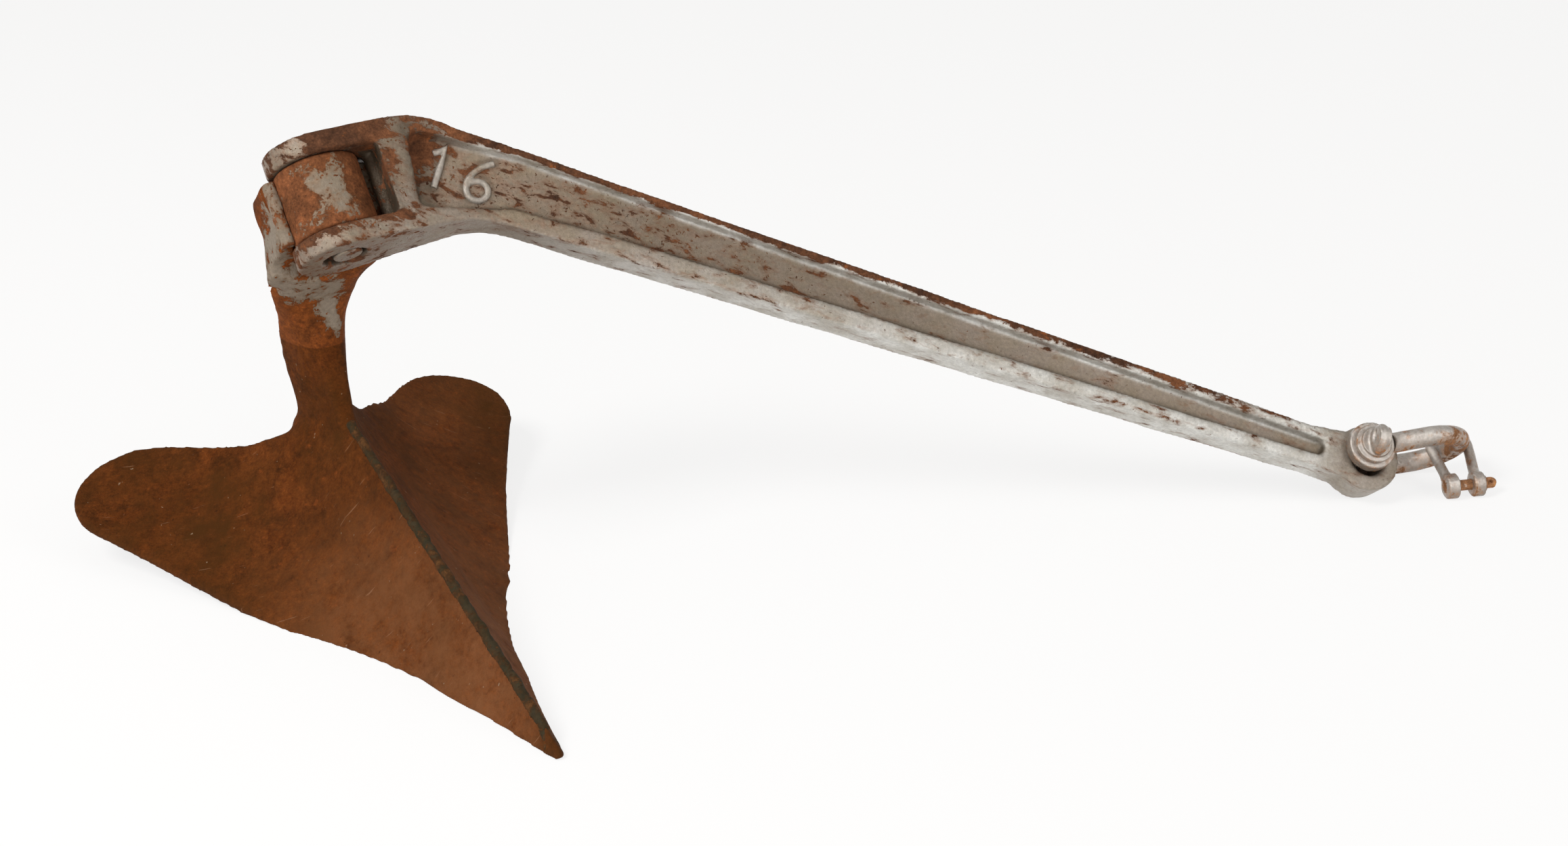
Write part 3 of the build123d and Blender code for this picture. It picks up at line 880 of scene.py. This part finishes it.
def wear_fitting(piece, node):
    """Rust shows through the zinc on the underside and where the bars chafe, with painted shade below and
    a painted highlight above.
    """
    points, normals, _ = net_of(piece)
    facing_up = normals[:, 2]
    rust = 0.12 + 0.30 * ramp(-facing_up, -0.3, 0.6)
    rust += 1.1 * np.exp(-np.sum(((points - EAR_FACE) / (5 * MM)) ** 2, axis=1))
    # Painted shade on faces turned down.
    shade_and_dirt = 0.4 * ramp(-facing_up, 0.2, 0.9)
    if node == "shackle_bow":
        rust += 0.3 * ramp(points[:, 0] / MM, 505, 535)
    if node == "small_shackle_pin":
        rust += 0.9
    if node == "shackle_pin":
        x, y, _ = in_axes(points, tab_axes).T
        # Painted shade in the tab's slot.
        shade_and_dirt += in_slot(x, y, 3.6, 1.9)
    # pale is a painted highlight on faces turned up.
    store(piece, rust_bias=rust, pale=ramp(facing_up, -0.2, 0.7), grime=np.clip(shade_and_dirt, 0, 1))


# %% Shackles
FITTINGS = (
    # node, piece, body, slot, square of the net in mm, rounds of relaxing, swelling in mm
    ("shackle_bow", "shackle_bow_bar", "shackle", "shackle_metal", 0.7, 4, 0.4),
    ("shackle_pin", "shackle_screw_pin", "shackle_screw", "shackle_metal", 0.55, 4, 0.0),
    ("small_shackle_bow", "small_bow_bar", "small_shackle", "small_shackle_metal", 0.4, 6, 0.3),
    ("small_shackle_pin", "small_screw_pin", "small_shackle_screw", "small_shackle_metal", 0.35, 2, 0.0))

for node, name, body, slot_name, square_mm, rounds, swelling_mm in FITTINGS:
    piece = build_fitting(name, node, square_mm, rounds, swelling_mm)
    wear_fitting(piece, node)
    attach(piece, body)
    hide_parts(node)

# %% [markdown]
# ## Rust
# Rust on forged steel is a stack of sizes: broad stains as wide as a hand, patches of a few
# centimetres, pocks of a few millimetres and a grain finer than that. One noise pattern with many
# octaves would run all of them together into grey cloud. Here each size is a pattern of its own,
# whose scale is worked out from the distance between its features. Rust is porous, so it hardly
# mirrors anything.


# %% Cloudy masks, stains and speckles
def per_metre(millimetres):
    """Texture scale for a pattern whose features are this far apart."""
    return 1.0 / (millimetres * MM)


def cloudy(material, where, spacing_mm, low, high, least, most, **noise):
    """A mask that goes from least to most as a noise pattern passes from low to high."""
    pattern = add_node(material, "TexNoise", {"Vector": where, "Scale": per_metre(spacing_mm), **noise})
    return add_node(material, "MapRange", {0: pattern, 1: low, 2: high, 3: least, 4: most})


def stain(material, where, colour, tone, spacing_mm, low, high, most=1.0, **noise):
    """A tone laid over a colour wherever a noise pattern passes from low to high."""
    share = cloudy(material, where, spacing_mm, low, high, 0.0, most, **noise)
    return add_node(material, "Mix", {0: share, 6: colour, 7: tone}, data_type="RGBA")


def speckle(material, where, colour, spacing_mm, low, high, darkest, lightest, **noise):
    """A colour made darker and lighter by a fine noise pattern."""
    shade = cloudy(material, where, spacing_mm, low, high, darkest, lightest, **noise)
    return add_node(material, "Mix", {0: 1.0, 6: colour, 7: shade}, data_type="RGBA",
                    blend_type="MULTIPLY")


print("features 5 mm apart need a scale of", per_metre(5))

# %% Rust tones and the shader's end
SHARE_RUST = dict(base="#6b3611", warm="#7a411a", dark="#4a270c", bright="#984d20")
FITTING_RUST = dict(base="#5a3a27", warm="#74492f", dark="#35231a", bright="#a05a2a")


def rust_tones(material, where, base, warm, dark, bright):
    """Stains, patches, sparks, pocks and grain, from the widest to the finest."""
    colour = stain(material, where, base, warm, 85, 0.40, 0.62, Detail=5.0, Roughness=0.62)
    colour = stain(material, where, colour, dark, 24, 0.46, 0.66, 0.8, Detail=7.0, Roughness=0.66,
                   Distortion=0.6)
    colour = stain(material, where, colour, bright, 11, 0.60, 0.72, 0.85, Detail=6.0, Roughness=0.7)
    colour = speckle(material, where, colour, 6, 0.36, 0.64, 0.56, 1.4, Detail=8.0, Roughness=0.8)
    # The grain is drawn coarser than real rust, whose grains would be lost at this distance.
    return speckle(material, where, colour, 1.7, 0.30, 0.72, 0.62, 1.32, Detail=3.0, Roughness=0.75)


def close_material(material, output, colour, roughness, height, metallic, depth_mm, mirror):
    """Skin relief and the shader itself."""
    relief = add_node(material, "Bump", {"Height": height, "Distance": depth_mm * MM, "Strength": 1.0})
    shader = add_node(material, "BsdfPrincipled", {
        "Base Color": colour, "Metallic": metallic, "Roughness": roughness, "Normal": relief,
        "Specular IOR Level": mirror})
    material.node_tree.links.new(shader.outputs[0], output.inputs["Surface"])
    return material


# %% [markdown]
# ## Bare rusted shares
# The shares have no paint left. Near the toe the ground has rubbed them lighter and redder, and
# towards the back damp has left a dull brown. Two stored masks say where, and noise patterns break
# both up, because a mask alone would show as a soft airbrushed cloud.


# %% Wear and damp on the shares
def rubbed_and_damp(material, where, colour):
    """Lay the rubbed tone and the damp tone over the rust where their masks and clouds meet, and darken
    proud edges as painted shade.
    """
    worn, damp, proud = (add_node(material, "Attribute", attribute_name=name).outputs["Fac"]
                         for name in ("worn", "damp", "proud"))
    cloud = cloudy(material, where, 30, 0.36, 0.62, 0.1, 0.95, Detail=10.0, Roughness=0.8)
    worn = add_node(material, "Math", {0: worn, 1: cloud}, operation="MULTIPLY")
    colour = add_node(material, "Mix", {0: worn, 6: colour, 7: "#98623e"}, data_type="RGBA")
    mould = cloudy(material, where, 60, 0.36, 0.66, 0.0, 1.1, Detail=9.0, Roughness=0.72)
    damp = add_node(material, "Math", {0: damp, 1: 0.35}, operation="ADD")
    damp = add_node(material, "Math", {0: damp, 1: mould}, operation="MULTIPLY", use_clamp=True)
    colour = add_node(material, "Mix", {0: damp, 6: colour, 7: "#523010"}, data_type="RGBA")
    # Painted shade: thin dark lines along the proud edges.
    edge_shade = add_node(material, "Math", {0: proud, 1: 0.35}, operation="MULTIPLY")
    return add_node(material, "Mix", {0: edge_shade, 6: colour, 7: "#54351c"}, data_type="RGBA")


# %% Scratches, painted glints and pores on the shares
def scratched(material, where, colour):
    """Fine marks: scratches drawn out along the share, painted glints as bright specks, and dark pores.
    """
    streaks = add_node(material, "Mapping", {"Vector": where, "Rotation": (0.3, 0.5, 0.9),
                                             "Scale": (1.0, 16.0, 1.0)})
    colour = stain(material, streaks, colour, "#a4785a", 32, 0.70, 0.74, 0.5, Detail=3.0, Roughness=0.5)
    # Painted highlights: tiny bright glints.
    colour = stain(material, where, colour, "#a58c72", 4.5, 0.735, 0.765, 0.7, Detail=2.0, Roughness=0.5)
    return stain(material, where, colour, "#2b1a0c", 7, 0.345, 0.31, 0.6, Detail=6.0, Roughness=0.7)


# Bare rusted steel: matt and deep brown, with almost no highlight, so its relief has to carry it.
plough_rust, output = new_material("rusted_share_steel")
where = add_node(plough_rust, "TexCoord").outputs["Object"]
colour = rust_tones(plough_rust, where, **SHARE_RUST)
colour = scratched(plough_rust, where, rubbed_and_damp(plough_rust, where, colour))
pits = add_node(plough_rust, "TexNoise", {"Vector": where, "Scale": per_metre(5), "Detail": 9.0,
                                          "Roughness": 0.78})
close_material(plough_rust, output, colour, roughness=0.72, height=pits, metallic=0.0, depth_mm=3.0,
               mirror=0.07)
print(plough_rust.name, "nodes:", len(plough_rust.node_tree.nodes))

# %% [markdown]
# ## Paint over rust
# The shank was silver painted. Paint holds on flat faces and flakes from edges and corners. A soft
# blend from paint to rust would look like dust. One noise pattern decides where it has flaked
# instead, and the stored wear shifts the pattern's threshold: a high value gives bare steel, a low
# one leaves a few chips. The colour, the shine and the relief all change at the same line, because
# the flake has a real edge.


# %% Where the paint has flaked
def flaked(material, where, drawn, chip_mm):
    """Masks of the bare steel and of the paint that is worn thin around it."""
    bias, proud = (add_node(material, "Attribute", attribute_name=name).outputs["Fac"]
                   for name in ("rust_bias", "proud"))
    flake = add_node(material, "TexNoise", {"Vector": drawn, "Scale": per_metre(chip_mm), "Detail": 8.0,
                                            "Roughness": 0.66, "Distortion": 0.35})
    flake = add_node(material, "Math", {0: bias, 1: 0.30, 2: flake}, operation="MULTIPLY_ADD")
    flake = add_node(material, "Math", {0: proud, 1: 0.06, 2: flake}, operation="MULTIPLY_ADD")
    bare = add_node(material, "MapRange", {0: flake, 1: 0.67, 2: 0.705})
    chip = add_node(material, "TexNoise", {"Vector": where, "Scale": per_metre(0.32 * chip_mm),
                                           "Detail": 4.0, "Roughness": 0.6, "Distortion": 0.5})
    chip = add_node(material, "Math", {0: bias, 1: 0.20, 2: chip}, operation="MULTIPLY_ADD")
    chip = add_node(material, "MapRange", {0: chip, 1: 0.705, 2: 0.72})
    bare = add_node(material, "Math", {0: bare, 1: chip}, operation="MAXIMUM")
    return bare, add_node(material, "MapRange", {0: flake, 1: 0.57, 2: 0.68, 4: 0.7})


# %% Old paint's colour
def old_paint(material, where, thin, coat, silver, khaki, rubbed):
    """Silver or grey paint with khaki stains, rubbed brown beside the chips, dirty in hollows, with
    painted shade.
    """
    light, grime, sunk = (add_node(material, "Attribute", attribute_name=name).outputs["Fac"]
                          for name in ("pale", "grime", "sunk"))
    # The pale mask turns paint silver, and on some faces it is a painted highlight.
    colour = add_node(material, "Mix", {0: light, 6: coat, 7: silver}, data_type="RGBA")
    colour = stain(material, where, colour, khaki, 26, 0.38, 0.66, 0.55, Detail=7.0, Roughness=0.62)
    colour = add_node(material, "Mix", {0: thin, 6: colour, 7: rubbed}, data_type="RGBA")
    # Dirt in hollows and the stored mask of dirt and painted shade darken the paint to one brown.
    shade_and_dirt = add_node(material, "Math", {0: sunk, 1: 0.2, 2: grime}, operation="MULTIPLY_ADD",
                    use_clamp=True)
    shade_and_dirt = add_node(material, "Math", {0: shade_and_dirt, 1: 0.9}, operation="MULTIPLY")
    colour = add_node(material, "Mix", {0: shade_and_dirt, 6: colour, 7: "#4b4032"}, data_type="RGBA")
    return speckle(material, where, colour, 2.6, 0.30, 0.70, 0.80, 1.18, Detail=4.0, Roughness=0.7)


# %% Flaking paint
def flaking_paint(name, tones, rust, shine, metal, chip_mm=11.0, mirror=0.5, along=None):
    """Old paint over rust, with chips that may be drawn out along a part's x axis."""
    material, output = new_material(name)
    where = drawn = add_node(material, "TexCoord").outputs["Object"]
    if along:
        turn = tuple(along.to_euler())
        drawn = add_node(material, "Mapping", {"Vector": where, "Rotation": turn,
                                               "Scale": (2.4, 1.0, 1.0)}, vector_type="TEXTURE")
    rusty = rust_tones(material, where, **rust)
    bare, thin = flaked(material, where, drawn, chip_mm)
    colour = old_paint(material, where, thin, **tones)
    colour = add_node(material, "Mix", {0: bare, 6: colour, 7: rusty}, data_type="RGBA")
    pits = add_node(material, "TexNoise", {"Vector": where, "Scale": per_metre(4.5), "Detail": 8.0,
                                           "Roughness": 0.75})
    height = add_node(material, "Math", {0: bare, 1: -0.3, 2: pits}, operation="MULTIPLY_ADD")
    rough = add_node(material, "MapRange", {0: bare, 3: shine, 4: 0.8})
    metallic = add_node(material, "MapRange", {0: bare, 3: metal, 4: 0.0})
    mirror = add_node(material, "MapRange", {0: bare, 3: mirror, 4: 0.12})
    print(name, "nodes:", len(material.node_tree.nodes))
    return close_material(material, output, colour, rough, height, metallic, 0.75, mirror)


# Silver paint on a forging: its metal flakes give a soft metallic shine that follows every dent.
shank_paint = flaking_paint(
    "silver_paint_on_forging",
    dict(coat="#857565", silver="#d8d7d2", khaki="#82735a", rubbed="#80604a"),
    FITTING_RUST, shine=0.36, metal=0.45, chip_mm=8.5, along=shank_axes)

# %% Paint of the horn, the barrel and the beads
BARREL_RUST = dict(base="#74462a", warm="#8c5433", dark="#54331d", bright="#a8683a")
SEAM_RUST = dict(base="#4c3119", warm="#5f3d20", dark="#2f200f", bright="#6f4824")

# Rests of the silver paint: chalked, so it is greyer than on the shank and hardly shines.
plough_paint = flaking_paint(
    "paint_rests_on_horn",
    dict(coat="#877a6b", silver="#a9a299", khaki="#7d7263", rubbed="#6d5843"),
    SHARE_RUST, shine=0.55, metal=0.15, mirror=0.25)

# Paint worn thin on the barrel and its welds: dull, with warm rust round one broad grey patch.
barrel_paint = flaking_paint(
    "flaking_barrel_paint",
    dict(coat="#86796a", silver="#b3aa9c", khaki="#7a6c58", rubbed="#7c5f46"),
    BARREL_RUST, shine=0.6, metal=0.1, chip_mm=14.0, mirror=0.25)

# Slag and rust on a weld: near black, rough and without shine, a dark line between the shares.
seam_rust = flaking_paint(
    "slag_and_rust_on_seam",
    dict(coat="#38301f", silver="#423b2a", khaki="#27231a", rubbed="#432d17"),
    SEAM_RUST, shine=0.75, metal=0.0, chip_mm=12.0, mirror=0.08)

# %% Worn zinc of the shackles
ZINC_RUST = dict(base="#94694a", warm="#ac7c58", dark="#7c5638", bright="#d08f46")

# Worn galvanising: the shiniest finish here, with a broad bright highlight that is partly its shine
# and partly a painted highlight on faces turned up, and coppery rust in it.
shackle_zinc = flaking_paint(
    "worn_galvanising",
    dict(coat="#978b80", silver="#d8d2cb", khaki="#9d8b7e", rubbed="#ad8260"),
    ZINC_RUST, shine=0.24, metal=0.7, chip_mm=12.0)

# %% Give each piece its finish
FINISHES = (
    (shank_paint, ("shank_forging", "weight_figures", "hinge_pin_bar")),
    (plough_paint, ("horn_forging",)),
    (plough_rust, ("right_share_plate", "left_share_plate")),
    (barrel_paint, ("hinge_barrel", "barrel_bead_right", "barrel_bead_left")),
    (seam_rust, ("ridge_bead",)),
    (shackle_zinc, ("shackle_bow_bar", "shackle_screw_pin", "small_bow_bar", "small_screw_pin")))

for finish, names in FINISHES:
    for name in names:
        materials = bpy.data.objects[name].data.materials
        materials.clear()
        materials.append(finish)
    print(finish.name, "on", ", ".join(names))
